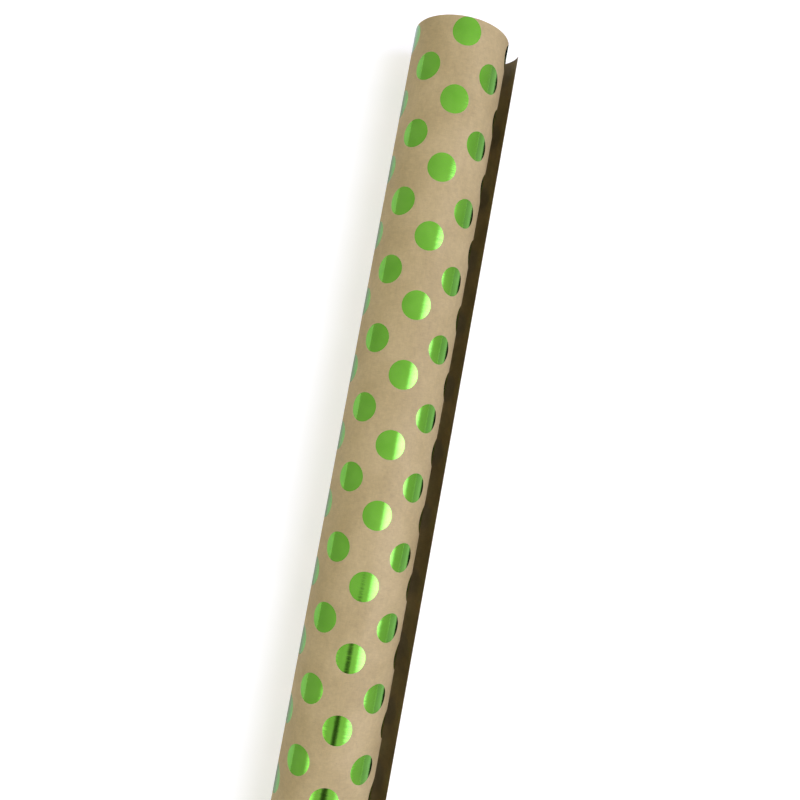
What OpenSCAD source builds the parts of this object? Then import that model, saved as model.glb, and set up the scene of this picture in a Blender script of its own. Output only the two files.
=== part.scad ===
// Roll of wrapping paper, lying on its side.
// X runs along the roll, Z is up, and the surface it lies on is z = 0.
// The free end of the sheet leaves the roll underneath, runs a little way
// along the surface towards -Y and curls up into a loose flap.

/* [Roll] */
// Length of the roll, which is the width of the sheet
roll_length = 762; // [300:1:1000]
// Diameter of the roll over the outermost turn
roll_d = 43.2; // [42:0.1:80]
// How much its own weight flattens the roll underneath
rest_flat = 0.5; // [0.3:0.05:1]

/* [Core] */
// Outside diameter of the cardboard core
core_od = 38; // [30:0.5:38]
// Thickness of one ply of core board, three plies to the wall
ply_t = 0.4; // [0.2:0.05:1]
// Width of the glue strip that holds the start of the sheet to the core
glue_w = 12; // [4:1:20]
// Thickness of the glue strip
glue_t = 0.1; // [0.05:0.01:0.2]

/* [Paper] */
// Thickness of the sheet
paper_t = 0.11; // [0.08:0.01:0.3]
// Air left between the outer turn and the turns below it
turn_gap = 0.3; // [0.2:0.05:0.6]
// Angle from the bottom of the roll back to where the outer turn comes free
anchor_angle = 15; // [10:1:30]
// Number of strips that the outer turn bends in
turn_strips = 8; // [6:1:12]
// Half the slit along each bending line
slit = 0.15; // [0.1:0.05:0.3]

/* [Flap] */
// Where the flap starts to curl, measured from under the middle of the roll
flap_flat = 9.8; // [6:0.1:14]
// Radius that the flap curls up to
curl_r = 17.3; // [14:0.1:20]
// Angle that the flap curls through
curl_angle = 83; // [50:1:95]
// Number of strips that the curled part bends in
curl_strips = 3; // [2:1:5]

/* [Hidden] */
$fn = 96;
kraft = [0.74, 0.62, 0.46];
kraft_back = [0.66, 0.54, 0.38];
board = [0.62, 0.54, 0.44];
glue = [0.93, 0.90, 0.80];
steps = 8;
pack_steps = 120;
glue_steps = 12;

roll_r = roll_d / 2;
core_r = core_od / 2;
axis_z = roll_r - rest_flat;
flat_half_angle = acos(axis_z / roll_r);
flat_half_w = roll_r * sin(flat_half_angle);
turn_pitch = paper_t + turn_gap;
turn_travel = 360 - anchor_angle - flat_half_angle;
turn_l = roll_r * turn_travel * PI / 180;
turn_strip_l = turn_l / turn_strips;
flat_l = flat_half_w + flap_flat;
curl_strip_l = curl_r * curl_angle * PI / 180 / curl_strips;
flap_reach = flap_flat + curl_r * sin(min(curl_angle, 90));
axis_y = (flap_reach - roll_r) / 2;

// Sections are drawn round the roll's axis, with Y across and Z up, and drawn out along X.
module along_roll() {
    translate([0, axis_y, axis_z])
        rotate([90, 0, 90])
            linear_extrude(roll_length, center = true)
                children();
}

// Radius of the spiral, at an angle travelled from where the outer turn comes free.
function spiral_r(travel) = roll_r - turn_pitch * (turn_travel - travel) / 360;
function polar(r, travel) = let (a = -90 - anchor_angle - travel) [r * cos(a), r * sin(a)];

// A point of the outer turn, at a length along the sheet and a depth below its printed face.
function turn_point(l, depth) =
    let (travel = l / turn_l * turn_travel)
    polar(spiral_r(travel) - depth, travel);

// A point of the flap: flat along the surface, then round the curl.
function flap_point(l, depth) =
    let (a = max(0, l - flat_l) / curl_r * 180 / PI, r = curl_r - depth)
    [flat_half_w - min(l, flat_l) - r * sin(a), -axis_z + curl_r - r * cos(a)];

function strip_length(from, to, i) = from + (to - from) * i / steps;

// Core plies

module ply(i, tone) {
    outer = core_r - i * ply_t;
    color(board * tone)
        along_roll()
            difference() {
                circle(r = outer);
                circle(r = outer - ply_t);
            }
}

module core_outer_ply() ply(0, 1);
module core_middle_ply() ply(1, 0.92);
module core_inner_ply() ply(2, 1.05);

// Where the glue strip lies, on top of the core
module glue_section(below = 0) {
    half = glue_w / 2 / core_r * 180 / PI;
    angles = [for (i = [0:glue_steps]) 90 - half + 2 * half * i / glue_steps];
    polygon(concat(
        [for (a = angles) (core_r + glue_t) * [cos(a), sin(a)]],
        [for (i = [glue_steps:-1:0]) (core_r - below) * [cos(angles[i]), sin(angles[i])]]));
}

module starter_glue_strip() {
    color(glue)
        along_roll()
            glue_section();
}

// All turns below the outer one. The outline is a spiral, with a step of one
// turn where the outer turn comes free, and it rests on the flap underneath.
module wound_paper() {
    outline = [for (i = [0:pack_steps])
               let (travel = 360 * i / pack_steps,
                    p = polar(spiral_r(travel) - turn_pitch, travel))
               [p[0], max(p[1], paper_t - axis_z)]];
    color(kraft)
        along_roll()
            difference() {
                polygon(outline);
                circle(r = core_r);
                glue_section(below = glue_t);
            }
}

// One strip of the outer turn, between two bending lines
module outer_turn_strip(i) {
    from = (i - 1) * turn_strip_l + slit;
    to = i * turn_strip_l - slit;
    face = [for (k = [0:steps]) turn_point(strip_length(from, to, k), 0)];
    back = [for (k = [steps:-1:0]) turn_point(strip_length(from, to, k), paper_t)];
    color(kraft)
        along_roll()
            polygon(concat(face, back));
}

// One strip of the flap: the first lies flat, the rest share the curl
module flap_strip(i) {
    start = i == 1 ? 0 : flat_l + (i - 2) * curl_strip_l;
    end = flat_l + (i - 1) * curl_strip_l;
    from = start + slit;
    to = end - (i == curl_strips + 1 ? 0 : slit);
    face = [for (k = [0:steps]) flap_point(strip_length(from, to, k), 0)];
    back = [for (k = [steps:-1:0]) flap_point(strip_length(from, to, k), paper_t)];
    color(kraft_back)
        along_roll()
            polygon(concat(face, back));
}

core_inner_ply();
core_middle_ply();
core_outer_ply();
starter_glue_strip();
wound_paper();
outer_turn_strip(1);  // outer_turn_strip_1
outer_turn_strip(2);  // outer_turn_strip_2
outer_turn_strip(3);  // outer_turn_strip_3
outer_turn_strip(4);  // outer_turn_strip_4
outer_turn_strip(5);  // outer_turn_strip_5
outer_turn_strip(6);  // outer_turn_strip_6
outer_turn_strip(7);  // outer_turn_strip_7
outer_turn_strip(8);  // outer_turn_strip_8
flap_strip(1);  // flap_strip_1
flap_strip(2);  // flap_strip_2
flap_strip(3);  // flap_strip_3
flap_strip(4);  // flap_strip_4
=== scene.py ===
"""A roll of kraft wrapping paper printed with green foil dots.

It lies on a table. The free end of the sheet leaves it underneath and curls up along one side.
"""
import math
import random

import bmesh
import bpy
import numpy as np
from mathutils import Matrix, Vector, geometry


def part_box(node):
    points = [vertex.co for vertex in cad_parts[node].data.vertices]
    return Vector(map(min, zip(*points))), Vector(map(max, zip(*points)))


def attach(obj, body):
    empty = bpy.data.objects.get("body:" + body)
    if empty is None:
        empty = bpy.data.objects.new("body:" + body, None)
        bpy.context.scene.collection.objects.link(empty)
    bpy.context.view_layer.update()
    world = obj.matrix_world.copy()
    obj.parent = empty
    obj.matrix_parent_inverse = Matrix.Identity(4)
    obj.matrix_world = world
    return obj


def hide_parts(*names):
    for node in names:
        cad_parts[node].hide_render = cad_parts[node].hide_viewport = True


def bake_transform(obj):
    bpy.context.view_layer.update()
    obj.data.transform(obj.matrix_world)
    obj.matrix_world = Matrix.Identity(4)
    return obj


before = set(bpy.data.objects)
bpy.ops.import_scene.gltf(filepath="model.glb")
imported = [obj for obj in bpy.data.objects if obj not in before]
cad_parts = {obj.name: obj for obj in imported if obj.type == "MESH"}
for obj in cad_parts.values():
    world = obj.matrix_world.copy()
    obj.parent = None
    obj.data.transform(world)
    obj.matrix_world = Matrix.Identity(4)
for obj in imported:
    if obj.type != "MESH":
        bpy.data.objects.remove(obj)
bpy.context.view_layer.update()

# ---------------------------------------------------------------- sizes, in metres and degrees

MM = 0.001
core_low, core_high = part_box("core_outer_ply")
HALF = core_high.x
AXIS_Y = (core_low.y + core_high.y) / 2
AXIS_Z = (core_low.z + core_high.z) / 2
CORE_R = (core_high.z - core_low.z) / 2
PLY_T = 0.4 * MM
# The plies from the outside in: the lead of the helix, the gap at its seam, the board's tone
PLIES = [
    ("outer", 104 * MM, 0.8 * MM, 1.0),
    ("middle", 98 * MM, 0.8 * MM, 0.8),
    ("inner", 92 * MM, 0.6 * MM, 1.1),
]

# The sheet, as the CAD strips have it
ROLL_R = 21.6 * MM
PAPER_T = 0.11 * MM
TURN_PITCH = 0.41 * MM
ANCHOR_ANGLE = 15
FLAT_HALF_ANGLE = math.degrees(math.acos(AXIS_Z / ROLL_R))
FLAT_HALF_W = ROLL_R * math.sin(math.radians(FLAT_HALF_ANGLE))
TURN_TRAVEL = 360 - ANCHOR_ANGLE - FLAT_HALF_ANGLE
TURN_STRIPS = 8
TURN_L = ROLL_R * math.radians(TURN_TRAVEL)
FLAT_L = FLAT_HALF_W + 9.8 * MM
CURL_R = 17.3 * MM
CURL_STRIPS = 3
CURL_L = CURL_R * math.radians(83)
SHEET_END = TURN_L + FLAT_L + CURL_L

# Below the outer turn the sheet is wound tight, down to the glue on the core
TIGHT_PITCH = 0.111 * MM
TAIL = 6 * MM
GLUE_ROOM = 0.11 * MM
FLARE = 2.3 * MM

# The printed pattern: foil dots on a diamond lattice
DOT_R = 6.34 * MM
DOT_PITCH = 30.09 * MM
COLUMN_PITCH = 15.4 * MM
FIRST_COLUMN = 60.76 * MM
FIRST_DOT = 6.36 * MM
ODD_SHIFT = 0.54
DOT_SIDES = 56
FOIL_RISE = 0.012 * MM
FOIL_BACK = 0.002 * MM

# Levels of the room's light from the left horizon, over the top, to the right horizon
ROOM_LEVELS = [
    (0.0, 0.44), (0.17, 0.50), (0.36, 0.56), (0.5, 0.66), (0.61, 0.74), (0.75, 0.74), (0.85, 0.62),
    (1.0, 0.50),
]
# Each window: its direction (degrees to the right of overhead, and towards the far end), the
# angles where it starts to fade and ends, its level, its colour
WINDOWS = [
    ((44, -3), 3, 27, 2.9, (1.0, 1.03, 2.1)),
    ((-34, -31), 3, 20, 1.5, (0.95, 1.0, 1.4)),
]
# The stand: the direction and the two angles of each of its patches, and how dark they are
STAND = [((4, -17), 1.5, 8), ((5, -25), 1.5, 9), ((5, -35), 4, 15)]
STAND_STRENGTH = 0.88

ROW_STEP = 0.9 * MM
GUARD = 0.03 * MM
RIB_STEP = 19.05 * MM
SHORTEST_SHEET = 10 * MM

# The stage. The floor and the cards lie a little below the ground that the roll stands on
FLOOR_Z = -0.12 * MM
CARD_Z = -0.11 * MM
CARD_REACH = 1.6
FLOOR_REACH = 3.0
CAMERA_LENS = 37.49
CAMERA_PLACE = (HALF - 8.4255 * ROLL_R, AXIS_Y, AXIS_Z + 17.227 * ROLL_R)
CAMERA_TURN = (2.263, -0.744, -79.484)
# Each soft light: its name, its place, its size in metres, its power in watts
SOFT_LIGHTS = [
    ("soft_right", (0.1, -0.75, 1.2), 1.0, 9.0),
    ("soft_left", (0.1, 1.2, 0.02), 0.8, 4.2),
]
# Tones of the cards at some distances from the roll's middle
BLACK_TONES = [(0.080, 0.008), (0.088, 0.58), (0.15, 0.42), (0.4, 0.34)]
GREY_TONES = [(0.026, 0.5), (0.1, 0.6)]


# ---------------------------------------------------------------- the shape of the sheet


def spiral_radius(travel):
    """Radius of the printed face, at an angle travelled from where the outer turn comes free.
    Negative travel goes into the wound roll, which is tight below its own outer turn."""
    loose = max(travel, -360)
    tight = min(travel + 360, 0)
    return ROLL_R - TURN_PITCH * (TURN_TRAVEL - loose) / 360 + TIGHT_PITCH * tight / 360


def on_circle(centre_y, centre_z, radius, angle):
    a = math.radians(angle)
    return centre_y + radius * math.cos(a), centre_z + radius * math.sin(a)


def sheet_section(length, depth):
    """(y, z) of the sheet, at a length along it from where the outer turn comes free and a
    depth below its printed face."""
    if length <= TURN_L:
        travel = math.degrees(length / ROLL_R)
        radius = spiral_radius(travel) - depth
        return on_circle(AXIS_Y, AXIS_Z, radius, -90 - ANCHOR_ANGLE - travel)
    run = length - TURN_L
    start_y = AXIS_Y + FLAT_HALF_W
    if run <= FLAT_L:
        return start_y - run, depth
    angle = math.degrees((run - FLAT_L) / CURL_R)
    return on_circle(start_y - FLAT_L, CURL_R, CURL_R - depth, -90 - angle)


def sheet_point(x, length, depth=0.0):
    """A point of the sheet. Its curl opens a little more towards the near end of the roll."""
    y, z = sheet_section(length, depth)
    curl = max(0.0, length - TURN_L - FLAT_L) / CURL_L
    from_far = min(1.0, (HALF - x) / (2 * HALF))
    opened = FLARE * curl ** 2 * from_far * (2 - from_far)
    return Vector((x, y - opened, z - 0.25 * opened))


def outward(x, length):
    """Normal of the printed face."""
    step = 0.01 * MM
    along = sheet_point(x, length + step) - sheet_point(x, length - step)
    across = sheet_point(x + step, length) - sheet_point(x - step, length)
    return along.cross(across).normalized()


# ---------------------------------------------------------------- cutting the sheet flat


def dots_between(low, high):
    """Centres (x, length) of the foil dots that reach into a stretch of the sheet."""
    first = math.floor((low - DOT_R - FIRST_COLUMN) / COLUMN_PITCH)
    last = math.ceil((high + DOT_R - FIRST_COLUMN) / COLUMN_PITCH)
    centres = []
    for column in range(first, last + 1):
        length = FIRST_COLUMN + column * COLUMN_PITCH
        if not low - DOT_R < length < high + DOT_R:
            continue
        x = HALF - FIRST_DOT - (column % 2) * ODD_SHIFT * DOT_PITCH + DOT_PITCH
        while x > -HALF - DOT_R:
            if x < HALF + DOT_R:
                centres.append((x, length))
            x -= DOT_PITCH
    return centres


def rows_between(low, high):
    """Lengths of the bending rows. The guard rows keep the shading even across a seam."""
    count = math.ceil((high - low) / ROW_STEP)
    inner = [low + (high - low) * i / count for i in range(1, count)]
    return [low, low + GUARD] + inner + [high - GUARD, high]


def cut_flat(low, high):
    """The stretch of sheet laid flat and cut into triangles along its rows and round its dots.
    Returns points (x, length), triangles, and for each triangle whether it is in a dot."""
    points = []
    edges = []

    def line(a, b):
        points.extend((a, b))
        edges.append((len(points) - 2, len(points) - 1))

    for length in rows_between(low, high):
        line((-HALF, length), (HALF, length))
    ribs = round(2 * HALF / RIB_STEP)
    for i in range(ribs + 1):
        x = -HALF + 2 * HALF * i / ribs
        line((x, low), (x, high))
    centres = dots_between(low, high)
    for cx, cl in centres:
        start = len(points)
        for i in range(DOT_SIDES):
            a = 2 * math.pi * (i + 0.5) / DOT_SIDES
            points.append((cx + DOT_R * math.cos(a), cl + DOT_R * math.sin(a)))
            edges.append((start + i, start + (i + 1) % DOT_SIDES))
    scaled = [Vector((x / MM, length / MM)) for x, length in points]
    cut = geometry.delaunay_2d_cdt(scaled, edges, [], 0, 1e-4)
    flat = np.array([tuple(p) for p in cut[0]]) * MM
    triangles = []
    in_dot = []
    spots = np.array(centres).reshape(-1, 2)
    for face in cut[2]:
        middle = flat[list(face)].mean(axis=0)
        if not (abs(middle[0]) < HALF and low < middle[1] < high):
            continue
        triangles.append(tuple(face))
        near = np.hypot(*(spots - middle).T) if len(spots) else np.ones(1)
        in_dot.append(bool(near.min() < DOT_R))
    return flat, triangles, in_dot


def slab(name, flat, triangles, top, bottom):
    """A closed thin mesh between two depths of the sheet, over some triangles of a flat cut."""
    used = sorted({i for t in triangles for i in t})
    index = {old: new for new, old in enumerate(used)}
    count = len(used)
    flat_used = [flat[i] for i in used]
    verts = [sheet_point(x, length, top) for x, length in flat_used]
    verts += [sheet_point(x, length, bottom) for x, length in flat_used]
    normals = [outward(x, length) for x, length in flat_used]
    faces = []
    border = {}
    for triangle in triangles:
        a, b, c = (index[i] for i in triangle)
        facing = (verts[b] - verts[a]).cross(verts[c] - verts[a]).dot(normals[a])
        if facing < 0:
            b, c = c, b
        faces.append((a, b, c))
        faces.append((a + count, c + count, b + count))
        for edge in ((a, b), (b, c), (c, a)):
            if (edge[1], edge[0]) in border:
                del border[edge[1], edge[0]]
            else:
                border[edge] = True
    rim = [(b, a, a + count, b + count) for a, b in border]
    mesh = bpy.data.meshes.new(name)
    mesh.from_pydata(verts, [], faces + rim)
    mesh.update()
    back = [int(p.index < len(faces) and p.index % 2 == 1) for p in mesh.polygons]
    mesh.polygons.foreach_set("material_index", back)
    lay_flat_uv(mesh, flat_used + flat_used)
    shade_slab(mesh, normals, len(faces), count)
    obj = bpy.data.objects.new(name, mesh)
    bpy.context.scene.collection.objects.link(obj)
    return obj


def lay_flat_uv(mesh, flat):
    """A UV map in metres of flat sheet, so that fibres run on from piece to piece."""
    uv = mesh.uv_layers.new(name="flat_sheet")
    corners = np.zeros(len(mesh.loops), dtype=np.int32)
    mesh.loops.foreach_get("vertex_index", corners)
    uv.data.foreach_set("uv", np.array(flat, dtype=np.float32)[corners].ravel())


def shade_slab(mesh, normals, sheet_faces, count):
    """Smooth shading with the sheet's own normals on both faces, and flat rims."""
    mesh.polygons.foreach_set("use_smooth", [True] * len(mesh.polygons))
    loop_normals = []
    for polygon in mesh.polygons:
        for vertex in polygon.vertices:
            if polygon.index >= sheet_faces:
                loop_normals.append(polygon.normal)
            elif vertex < count:
                loop_normals.append(normals[vertex])
            else:
                loop_normals.append(-normals[vertex - count])
    mesh.normals_split_custom_set(loop_normals)


# ---------------------------------------------------------------- materials


class Shader:
    """The node tree of a material or world, with short calls for the nodes used here."""

    def __init__(self, owner, output="ShaderNodeOutputMaterial"):
        self.owner = owner
        owner.use_nodes = True
        self.tree = owner.node_tree
        self.tree.nodes.clear()
        self.output = self.add(output)

    def add(self, kind, **settings):
        node = self.tree.nodes.new(kind)
        for key, value in settings.items():
            setattr(node, key, value)
        return node

    def link(self, source, target):
        self.tree.links.new(source, target)

    def noise(self, vector, scale, detail=2.0, roughness=0.5, distortion=0.0):
        node = self.add("ShaderNodeTexNoise")
        self.link(vector, node.inputs["Vector"])
        node.inputs["Scale"].default_value = scale
        node.inputs["Detail"].default_value = detail
        node.inputs["Roughness"].default_value = roughness
        node.inputs["Distortion"].default_value = distortion
        return node.outputs["Fac"]

    def stretch(self, vector, scale):
        node = self.add("ShaderNodeMapping")
        self.link(vector, node.inputs["Vector"])
        node.inputs["Scale"].default_value = scale
        return node.outputs["Vector"]

    def ramp(self, value, stops):
        node = self.add("ShaderNodeValToRGB")
        self.link(value, node.inputs["Fac"])
        elements = node.color_ramp.elements
        while len(elements) < len(stops):
            elements.new(0.5)
        for element, (place, colour) in zip(elements, stops):
            element.position = place
            element.color = (*colour, 1.0)
        return node.outputs["Color"]

    def mix(self, kind, factor, a, b):
        """Mixes two colours, as a blend kind. factor is a number or a socket."""
        node = self.add("ShaderNodeMix", data_type="RGBA", blend_type=kind)
        for socket, value in ((node.inputs[0], factor), (node.inputs[6], a), (node.inputs[7], b)):
            if isinstance(value, bpy.types.NodeSocket):
                self.link(value, socket)
            elif isinstance(value, tuple):
                socket.default_value = (*value, 1.0)
            else:
                socket.default_value = value
        return node.outputs[2]

    def between(self, value, low, high):
        """Maps a 0 to 1 value into low to high."""
        node = self.add("ShaderNodeMapRange")
        self.link(value, node.inputs["Value"])
        node.inputs["To Min"].default_value = low
        node.inputs["To Max"].default_value = high
        return node.outputs["Result"]

    def bump(self, height, strength, distance, under=None):
        node = self.add("ShaderNodeBump")
        self.link(height, node.inputs["Height"])
        node.inputs["Strength"].default_value = strength
        node.inputs["Distance"].default_value = distance
        if under is not None:
            self.link(under, node.inputs["Normal"])
        return node.outputs["Normal"]

    def principled(self, colour, roughness, normal, **values):
        node = self.add("ShaderNodeBsdfPrincipled")
        for name, value in (("Base Color", colour), ("Roughness", roughness), ("Normal", normal)):
            if isinstance(value, bpy.types.NodeSocket):
                self.link(value, node.inputs[name])
            elif value is not None:
                node.inputs[name].default_value = value
        for name, value in values.items():
            node.inputs[name.replace("_", " ")].default_value = value
        return node.outputs["BSDF"]

    def math(self, operation, *values):
        node = self.add("ShaderNodeMath", operation=operation)
        for socket, value in zip(node.inputs, values):
            if isinstance(value, bpy.types.NodeSocket):
                self.link(value, socket)
            else:
                socket.default_value = value
        return node.outputs["Value"]

    def show(self, shader):
        self.link(shader, self.output.inputs["Surface"])
        return self.owner


def new_material(name):
    return Shader(bpy.data.materials.new(name))


def greys(*stops):
    """Stops of a grey ramp, from (place, level) pairs."""
    return [(at, (level,) * 3) for at, level in stops]


def kraft_paper(name, base, dark, light, gloss, through, through_tint):
    """Kraft paper: cloudy pulp, fibres along the sheet and across it, and stray flecks."""
    s = new_material(name)
    flat = s.add("ShaderNodeUVMap", uv_map="flat_sheet").outputs["UV"]
    clouds = s.noise(flat, 45, 4, 0.6, 0.4)
    pulp = s.noise(flat, 420, 5, 0.65)
    fibres = s.noise(s.stretch(flat, (2600, 420, 1)), 1, 3, 0.6, 0.6)
    cross_fibres = s.noise(s.stretch(flat, (380, 2400, 1)), 1, 3, 0.6, 0.8)
    flecks = s.noise(s.stretch(flat, (1500, 1100, 1)), 1, 1, 0.4, 0.3)
    colour = s.ramp(clouds, [(0.36, dark), (0.5, base), (0.64, light)])
    colour = s.mix("OVERLAY", 0.18, colour, s.ramp(pulp, greys((0.3, 0.3), (0.7, 0.7))))
    colour = s.mix("OVERLAY", 0.16, colour, s.ramp(fibres, greys((0.3, 0.3), (0.7, 0.7))))
    colour = s.mix("OVERLAY", 0.12, colour, s.ramp(cross_fibres, greys((0.3, 0.3), (0.7, 0.7))))
    spots = s.ramp(flecks, greys((0.7, 0.0), (0.76, 1.0)))
    colour = s.mix("MIX", s.between(spots, 0, 0.22), colour, tuple(0.45 * c for c in dark))
    relief = s.bump(fibres, 0.35, 0.03 * MM)
    relief = s.bump(cross_fibres, 0.3, 0.03 * MM, relief)
    relief = s.bump(clouds, 0.5, 0.12 * MM, relief)
    front = s.principled(
        colour, s.between(pulp, gloss, gloss + 0.16), relief, Specular_IOR_Level=0.35,
    )
    glow = s.add("ShaderNodeBsdfTranslucent")
    s.link(s.mix("MULTIPLY", 1.0, colour, through_tint), glow.inputs["Color"])
    s.link(relief, glow.inputs["Normal"])
    both = s.add("ShaderNodeMixShader")
    both.inputs["Fac"].default_value = through
    s.link(front, both.inputs[1])
    s.link(glow.outputs["BSDF"], both.inputs[2])
    return s.show(both.outputs["Shader"])


def green_foil():
    """Hot-stamped foil: a green lacquer over bright metal, which takes up the paper's texture."""
    s = new_material("green_foil")
    flat = s.add("ShaderNodeUVMap", uv_map="flat_sheet").outputs["UV"]
    tooth = s.noise(s.stretch(flat, (1900, 1400, 1)), 1, 3, 0.6)
    drift = s.noise(flat, 110, 2, 0.5)
    wear = s.noise(flat, 900, 4, 0.7)
    colour = s.ramp(drift, [(0.3, (0.20, 0.60, 0.035)), (0.7, (0.25, 0.68, 0.055))])
    pinholes = s.ramp(wear, greys((0.72, 0.0), (0.78, 1.0)))
    colour = s.mix("MIX", s.between(pinholes, 0, 0.3), colour, (0.30, 0.42, 0.12))
    relief = s.bump(drift, 0.25, 0.12 * MM)
    relief = s.bump(tooth, 0.35, 0.02 * MM, relief)
    web_lines = s.noise(s.stretch(flat, (800, 110, 1)), 1, 2, 0.5, 0.3)
    relief = s.bump(web_lines, 0.6, 0.07 * MM, relief)
    surface = s.principled(
        colour, s.between(wear, 0.07, 0.17), relief,
        Metallic=1.0, Coat_Weight=0.7, Coat_Roughness=0.05, Coat_IOR=1.5,
    )
    return s.show(surface)


def core_board(name, tone):
    """Grey-brown board of recycled pulp."""
    s = new_material(name)
    place = s.add("ShaderNodeTexCoord").outputs["Object"]
    pulp = s.noise(place, 700, 5, 0.7)
    clouds = s.noise(place, 90, 3, 0.6)
    flecks = s.noise(place, 1900, 2, 0.5)
    dark = tuple(0.8 * c * tone for c in (0.38, 0.30, 0.20))
    light = tuple(1.15 * c * tone for c in (0.38, 0.30, 0.20))
    colour = s.ramp(clouds, [(0.35, dark), (0.65, light)])
    colour = s.mix("OVERLAY", 0.35, colour, s.ramp(pulp, greys((0.3, 0.25), (0.7, 0.75))))
    spots = s.ramp(flecks, greys((0.68, 0.0), (0.75, 1.0)))
    colour = s.mix("MIX", s.between(spots, 0, 0.5), colour, (0.08, 0.07, 0.06))
    relief = s.bump(pulp, 0.6, 0.08 * MM)
    surface = s.principled(colour, s.between(pulp, 0.75, 0.95), relief, Specular_IOR_Level=0.25)
    return s.show(surface)


def starter_glue():
    """Dried white glue, a little yellow, with bubbles."""
    s = new_material("starter_glue")
    place = s.add("ShaderNodeTexCoord").outputs["Object"]
    bubbles = s.noise(place, 1400, 3, 0.6)
    colour = s.ramp(bubbles, [(0.35, (0.62, 0.54, 0.36)), (0.65, (0.84, 0.79, 0.62))])
    relief = s.bump(bubbles, 0.4, 0.05 * MM)
    return s.show(s.principled(colour, s.between(bubbles, 0.3, 0.5), relief))


def table_top():
    """The plain pale floor."""
    s = new_material("pale_floor")
    place = s.add("ShaderNodeTexCoord").outputs["Object"]
    grain = s.noise(place, 60, 3, 0.5)
    colour = s.ramp(grain, [(0.3, (0.60, 0.59, 0.54)), (0.7, (0.63, 0.62, 0.57))])
    return s.show(s.principled(
        colour, 0.8, None, Specular_IOR_Level=0.1,
        Emission_Color=(1.0, 0.99, 0.96, 1.0), Emission_Strength=0.5,
    ))


PRINTED = kraft_paper(
    "kraft_printed_side", base=(0.52, 0.392, 0.170), dark=(0.483, 0.360, 0.152),
    light=(0.555, 0.421, 0.189), gloss=0.5, through=0.25, through_tint=(1.15, 1.1, 0.9),
)
# The plain side is the same kraft as the printed side, but its colours are set at under half as
# bright. This is painted shade for the inside of the flap, which lies in the shadow of the roll.
# The inside of the wound turns takes the same darker colours.
REVERSE_PAINTED_SHADE = kraft_paper(
    "kraft_plain_side_painted_shade", base=(0.225, 0.174, 0.083), dark=(0.200, 0.153, 0.070),
    light=(0.252, 0.197, 0.096), gloss=0.6, through=0.25, through_tint=(1.7, 1.7, 1.4),
)
FOIL = green_foil()


# ---------------------------------------------------------------- the outer turn and the flap


def bending_pieces():
    """(name, first length, last length, body before, body after, blend start, blend end, CAD node)
    for each piece of the outer turn and the flap, from the middle of one body to the next's."""
    strip = TURN_L / TURN_STRIPS
    curl = CURL_L / CURL_STRIPS
    curl_start = TURN_L + FLAT_L
    bodies = ["roll"] + [f"turn_{i + 1}" for i in range(TURN_STRIPS)]
    middles = [0.0] + [(i + 0.5) * strip for i in range(TURN_STRIPS)]
    nodes = [f"outer_turn_strip_{i + 1}" for i in range(TURN_STRIPS)]
    bodies += [f"flap_{i + 1}" for i in range(CURL_STRIPS + 1)]
    middles += [TURN_L + FLAT_L / 2] + [curl_start + (i + 0.5) * curl for i in range(CURL_STRIPS)]
    nodes += [f"flap_strip_{i + 1}" for i in range(CURL_STRIPS + 1)]
    last = len(nodes) - 1
    for i, node in enumerate(nodes):
        low = -TAIL if i == 0 else middles[i]
        high = SHEET_END if i == last else middles[i + 1]
        name = node.replace("strip", "sheet")
        yield name, low, high, bodies[i], bodies[i + 1], middles[i], middles[i + 1], node


def make_leaf():
    """The outer turn and the flap, one sheet in pieces cut at the middles of the CAD strips."""
    pieces = []
    for name, low, high, before, after, start, end, node in bending_pieces():
        flat, triangles, in_dot = cut_flat(low, high)
        paper = slab(name, flat, triangles, 0.0, PAPER_T)
        paper.data.materials.append(PRINTED)
        paper.data.materials.append(REVERSE_PAINTED_SHADE)
        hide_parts(node)
        dots = [t for t, inside in zip(triangles, in_dot) if inside]
        foil = slab(name.replace("sheet", "foil"), flat, dots, -FOIL_RISE, -FOIL_BACK)
        foil.data.materials.append(FOIL)
        foil.data.polygons.foreach_set("material_index", [0] * len(foil.data.polygons))
        for piece in (paper, foil):
            sheet_point(0, start)
            sheet_point(0, end)
            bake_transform(piece)
        pieces.append((paper, foil, high - low))
    return pieces


# ---------------------------------------------------------------- the wound sheet


def end_ripple(rng):
    """How far the cut edge stands back at a length of the wound sheet: the turns lie unevenly."""
    waves = [(rng.uniform(0.010, 0.16), rng.uniform(0, 2 * math.pi)) for _ in range(6)]

    def ripple(length):
        value = sum(math.sin(length / wave + phase) for wave, phase in waves) / len(waves)
        return 0.16 * MM * (0.5 + 0.5 * value)

    return ripple


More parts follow.
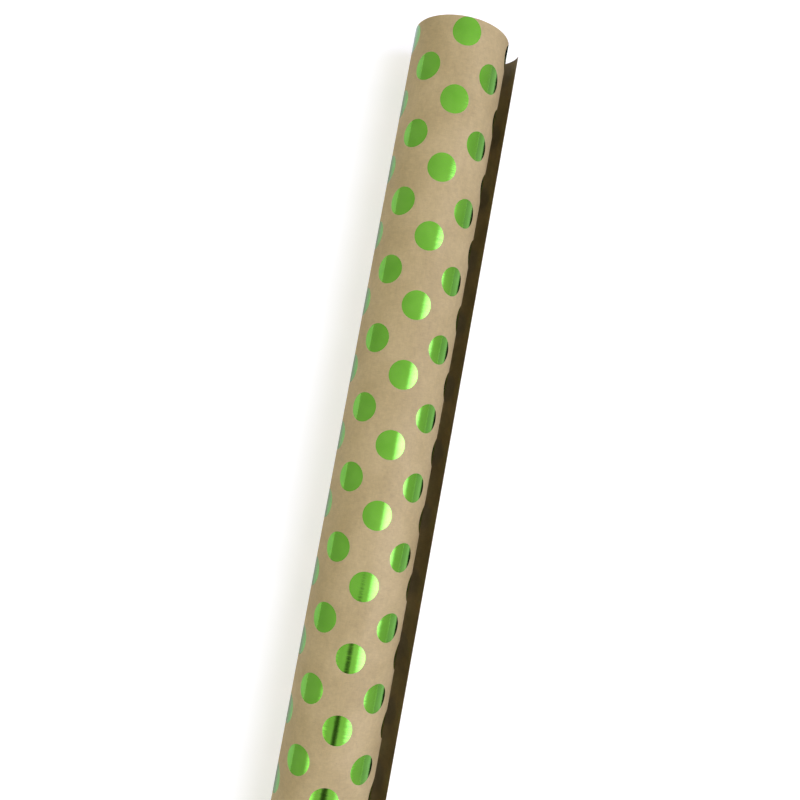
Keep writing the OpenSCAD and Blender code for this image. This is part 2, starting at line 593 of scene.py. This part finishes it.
def make_wound_sheet():
    """All the turns below the outer one, as one long thin sheet wound in a spiral."""
    step = math.radians(3) * ROLL_R
    inner_face = CORE_R + GLUE_ROOM
    lengths = [-TAIL]
    while spiral_radius(math.degrees(lengths[-1] / ROLL_R)) - PAPER_T > inner_face:
        lengths.append(lengths[-1] - step)
    rng = random.Random(7)
    near, far = end_ripple(rng), end_ripple(rng)
    settle = 12 * MM
    verts = []
    flat = []
    normals = []
    run = -TAIL
    for i, length in enumerate(lengths):
        if i:
            middle = math.degrees((length + lengths[i - 1]) / 2 / ROLL_R)
            run -= math.radians(3) * spiral_radius(middle)
        share = min(1.0, (lengths[0] - length) / settle)
        for x in (-HALF + near(length) * share, HALF - far(length) * share):
            verts += [sheet_point(x, length, 0.0), sheet_point(x, length, PAPER_T)]
            flat += [(x, run), (x, run)]
            normals += [outward(0, length), -outward(0, length)]
    faces = []
    for i in range(len(lengths) - 1):
        a, b = 4 * i, 4 * (i + 1)
        faces += [(a, a + 2, b + 2, b), (a + 1, b + 1, b + 3, a + 3)]
    sheet_faces = len(faces)
    for i in range(len(lengths) - 1):
        a, b = 4 * i, 4 * (i + 1)
        faces += [(a, b, b + 1, a + 1), (a + 2, a + 3, b + 3, b + 2)]
    last = 4 * (len(lengths) - 1)
    faces += [(0, 1, 3, 2), (last, last + 2, last + 3, last + 1)]
    mesh = bpy.data.meshes.new("wound_sheet")
    mesh.from_pydata(verts, [], faces)
    mesh.update()
    lay_flat_uv(mesh, flat)
    mesh.polygons.foreach_set("use_smooth", [True] * len(mesh.polygons))
    corner_normals = []
    for polygon in mesh.polygons:
        for vertex in polygon.vertices:
            smooth = polygon.index < sheet_faces
            corner_normals.append(normals[vertex] if smooth else polygon.normal)
    mesh.normals_split_custom_set(corner_normals)
    sheet = bpy.data.objects.new("wound_sheet", mesh)
    bpy.context.scene.collection.objects.link(sheet)
    sheet.data.materials.append(PRINTED)
    sheet.data.materials.append(REVERSE_PAINTED_SHADE)
    back = [int(p.index < sheet_faces and p.index % 2 == 1) for p in mesh.polygons]
    mesh.polygons.foreach_set("material_index", back)
    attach(sheet, "roll")
    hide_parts("wound_paper")
    return sheet, -run


def make_wound_foil():
    """The dots on the turn below the outer one, which show when that one is unwound."""
    flat, triangles, in_dot = cut_flat(-TAIL - 2 * math.pi * ROLL_R, -TAIL)
    dots = [t for t, inside in zip(triangles, in_dot) if inside]
    foil = slab("wound_foil", flat, dots, -FOIL_RISE, -FOIL_BACK)
    foil.data.materials.append(FOIL)
    foil.data.polygons.foreach_set("material_index", [0] * len(foil.data.polygons))
    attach(foil, "roll")
    return foil


def declare_sheets(leaf):
    """One sheet, as wide as the roll, in pieces. For each piece long enough, this gathers its foil
    and the next piece if that one is too short, and does nothing more with them."""
    for i, (paper, foil, length) in enumerate(leaf):
        if length < SHORTEST_SHEET:
            continue
        extras = [foil]
        if i + 1 < len(leaf) and leaf[i + 1][2] < SHORTEST_SHEET:
            extras += leaf[i + 1][:2]


# ---------------------------------------------------------------- the core


def make_ply(node, outer_r, lead, gap, material):
    """One ply of the core: a strip of board wound in a helix whose edges almost meet."""
    steps = 96
    inner_r = outer_r - PLY_T
    width = lead - gap
    first = math.floor((-HALF - width) / lead * steps)
    last = math.ceil(HALF / lead * steps)
    verts = []
    for i in range(first, last + 1):
        a = 2 * math.pi * i / steps
        for x in (lead * i / steps, lead * i / steps + width):
            x = max(-HALF, min(HALF, x))
            for r in (outer_r, inner_r):
                verts.append((x, AXIS_Y + r * math.cos(a), AXIS_Z + r * math.sin(a)))
    faces = []
    for i in range(last - first):
        a, b = 4 * i, 4 * (i + 1)
        faces += [(a, a + 2, b + 2, b), (a + 1, b + 1, b + 3, a + 3)]
        faces += [(a, b, b + 1, a + 1), (a + 2, a + 3, b + 3, b + 2)]
    mesh = bpy.data.meshes.new(node + "_strip")
    mesh.from_pydata(verts, [], faces)
    clean_strip(mesh)
    ply = bpy.data.objects.new(node + "_strip", mesh)
    bpy.context.scene.collection.objects.link(ply)
    ply.data.materials.append(material)
    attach(ply, "roll")
    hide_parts(node)
    return ply


def clean_strip(mesh):
    """Joins the points that meet at the cut ends, drops the empty faces, and shades smoothly."""
    bm = bmesh.new()
    bm.from_mesh(mesh)
    bmesh.ops.remove_doubles(bm, verts=bm.verts, dist=0.001 * MM)
    bmesh.ops.dissolve_degenerate(bm, edges=bm.edges, dist=0.001 * MM)
    empty = [f for f in bm.faces if f.calc_area() < 1e-12]
    bmesh.ops.delete(bm, geom=empty, context="FACES")
    bmesh.ops.recalc_face_normals(bm, faces=bm.faces)
    for face in bm.faces:
        face.smooth = True
    for edge in bm.edges:
        edge.smooth = not edge.is_manifold or edge.calc_face_angle(0) < math.radians(30)
    bm.to_mesh(mesh)
    bm.free()


# ---------------------------------------------------------------- stage


def add_soft_light(name, place, size, power):
    """A large light, aimed at the roll, that shapes the shading but doesn't show in the foil."""
    data = bpy.data.lights.new(name, "AREA")
    data.shape = "DISK"
    data.size = size
    data.energy = power
    data.color = (0.94, 1.0, 1.2)
    light = bpy.data.objects.new(name, data)
    light.location = place
    light.rotation_euler = (Vector((0.1, 0, 0)) - Vector(place)).to_track_quat("-Z", "Y").to_euler()
    light.visible_glossy = False
    bpy.context.scene.collection.objects.link(light)


def add_floor():
    signs = [(-1, -1), (1, -1), (1, 1), (-1, 1)]
    corners = [(x * FLOOR_REACH, y * FLOOR_REACH, FLOOR_Z) for x, y in signs]
    mesh = bpy.data.meshes.new("floor")
    mesh.from_pydata(corners, [], [(0, 1, 2, 3)])
    floor = bpy.data.objects.new("floor", mesh)
    floor.data.materials.append(table_top())
    bpy.context.scene.collection.objects.link(floor)


def add_backdrop():
    """A white dome round the room, which only the camera sees, behind the floor's far edge."""
    radius, sides, rings = 4.2, 64, 12
    verts, faces = [], []
    for ring in range(rings + 1):
        up = math.radians(-2 + 92 * ring / rings)
        for i in range(sides):
            a = 2 * math.pi * i / sides
            across = radius * math.cos(up)
            verts.append((across * math.cos(a), across * math.sin(a), radius * math.sin(up)))
    for ring in range(rings):
        for i in range(sides):
            j = (i + 1) % sides
            low, high = ring * sides, (ring + 1) * sides
            faces.append((low + i, high + i, high + j, low + j))
    mesh = bpy.data.meshes.new("backdrop")
    mesh.from_pydata(verts, [], faces)
    s = new_material("backdrop")
    shine = s.add("ShaderNodeEmission")
    shine.inputs["Color"].default_value = (1, 1, 1, 1)
    s.show(shine.outputs["Emission"])
    dome = bpy.data.objects.new("backdrop", mesh)
    dome.data.materials.append(s.owner)
    for ray in ("visible_diffuse", "visible_glossy", "visible_shadow", "visible_transmission"):
        setattr(dome, ray, False)
    bpy.context.scene.collection.objects.link(dome)


def sky_direction(right, along):
    """A direction: degrees from overhead to the right of the picture, and towards the far end."""
    phi, tilt = math.radians(right), math.radians(along)
    return math.sin(tilt), -math.cos(tilt) * math.sin(phi), math.cos(tilt) * math.cos(phi)


def glow(s, place, centre, inner, outer, level):
    """A soft round patch of the sky: level inside the inner angle, nothing past the outer one."""
    toward = s.add("ShaderNodeVectorMath", operation="DOT_PRODUCT")
    s.link(place, toward.inputs[0])
    toward.inputs[1].default_value = centre
    patch = s.add("ShaderNodeMapRange", interpolation_type="SMOOTHSTEP")
    s.link(toward.outputs["Value"], patch.inputs["Value"])
    patch.inputs["From Min"].default_value = math.cos(math.radians(outer))
    patch.inputs["From Max"].default_value = math.cos(math.radians(inner))
    patch.inputs["To Min"].default_value = 0
    patch.inputs["To Max"].default_value = level
    return patch.outputs["Result"]


def add_world():
    """A soft studio: even light all round, a cool window high on the right, a small one low on
    the left, and the dark shape of the stand above the near end."""
    s = Shader(bpy.data.worlds.new("studio"), "ShaderNodeOutputWorld")
    bpy.context.scene.world = s.owner
    place = s.add("ShaderNodeTexCoord").outputs["Generated"]
    split = s.add("ShaderNodeSeparateXYZ")
    s.link(place, split.inputs["Vector"])
    angle = s.math("ARCTAN2", split.outputs["Y"], split.outputs["Z"])
    share = s.add("ShaderNodeMapRange")
    s.link(angle, share.inputs["Value"])
    share.inputs["From Min"].default_value = math.radians(90)
    share.inputs["From Max"].default_value = math.radians(-90)
    room = s.ramp(share.outputs["Result"], greys(*ROOM_LEVELS))
    colour = room
    for centre, inner, outer, level, tint in WINDOWS:
        patch = glow(s, place, sky_direction(*centre), inner, outer, level)
        tinted = s.mix("MULTIPLY", 1.0, patch, tint)
        colour = s.mix("ADD", 1.0, colour, tinted)
    for centre, inner, outer in STAND:
        dark = glow(s, place, sky_direction(*centre), inner, outer, STAND_STRENGTH)
        colour = s.mix("MIX", dark, colour, (0.03, 0.03, 0.03))
    background = s.add("ShaderNodeBackground")
    s.link(colour, background.inputs["Color"])
    s.show(background.outputs["Background"])


def add_card(name, side, near, tones, shades):
    """A card lying on the floor beside the roll. Only the object sees it: its back is clear, and
    the camera doesn't see it. side is -1 for the right of the picture and 1 for the left, near is
    where it starts, and tones gives its tone at some distances from the roll's middle. Where
    shades is false it shows only in reflections."""
    far = CARD_REACH
    corners = [(-far, side * near), (far, side * near), (far, side * far), (-far, side * far)]
    if side < 0:
        corners.reverse()
    mesh = bpy.data.meshes.new(name)
    mesh.from_pydata([(x, y, CARD_Z) for x, y in corners], [], [(0, 1, 2, 3)])
    s = new_material(name)
    place = s.add("ShaderNodeTexCoord").outputs["Object"]
    split = s.add("ShaderNodeSeparateXYZ")
    s.link(place, split.inputs["Vector"])
    reach = tones[-1][0]
    away = s.math("MULTIPLY", split.outputs["Y"], side / reach)
    tone = s.ramp(away, greys(*((distance / reach, level) for distance, level in tones)))
    both = s.add("ShaderNodeMixShader")
    s.link(s.add("ShaderNodeNewGeometry").outputs["Backfacing"], both.inputs["Fac"])
    s.link(s.principled(tone, 0.9, None, Specular_IOR_Level=0.0), both.inputs[1])
    s.link(s.add("ShaderNodeBsdfTransparent").outputs["BSDF"], both.inputs[2])
    s.show(both.outputs["Shader"])
    card = bpy.data.objects.new(name, mesh)
    card.data.materials.append(s.owner)
    card.visible_camera = False
    card.visible_shadow = False
    card.visible_transmission = False
    card.visible_diffuse = shades
    bpy.context.scene.collection.objects.link(card)


def add_camera():
    """Above the roll, leaning a little towards its far end, which points up in the picture."""
    data = bpy.data.cameras.new("camera")
    data.sensor_width = 36
    data.lens = CAMERA_LENS
    data.clip_start = 0.01
    camera = bpy.data.objects.new("camera", data)
    camera.location = CAMERA_PLACE
    camera.rotation_euler = [math.radians(a) for a in CAMERA_TURN]
    bpy.context.scene.collection.objects.link(camera)
    bpy.context.scene.camera = camera


# ---------------------------------------------------------------- building

add_camera()
add_floor()
add_world()
add_card("black_card", -1, 0.026, BLACK_TONES, True)
add_card("grey_card", 1, 0.026, GREY_TONES, False)
bpy.context.scene.view_settings.view_transform = "Standard"

for soft_light in SOFT_LIGHTS:
    add_soft_light(*soft_light)
add_backdrop()
leaf = make_leaf()
wound, wound_length = make_wound_sheet()
wound_foil = make_wound_foil()
for i, (ply, lead, gap, tone) in enumerate(PLIES):
    board = core_board("core_board_" + ply, tone)
    make_ply(f"core_{ply}_ply", CORE_R - i * PLY_T, lead, gap, board)
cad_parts["starter_glue_strip"].data.materials.clear()
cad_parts["starter_glue_strip"].data.materials.append(starter_glue())

declare_sheets(leaf)
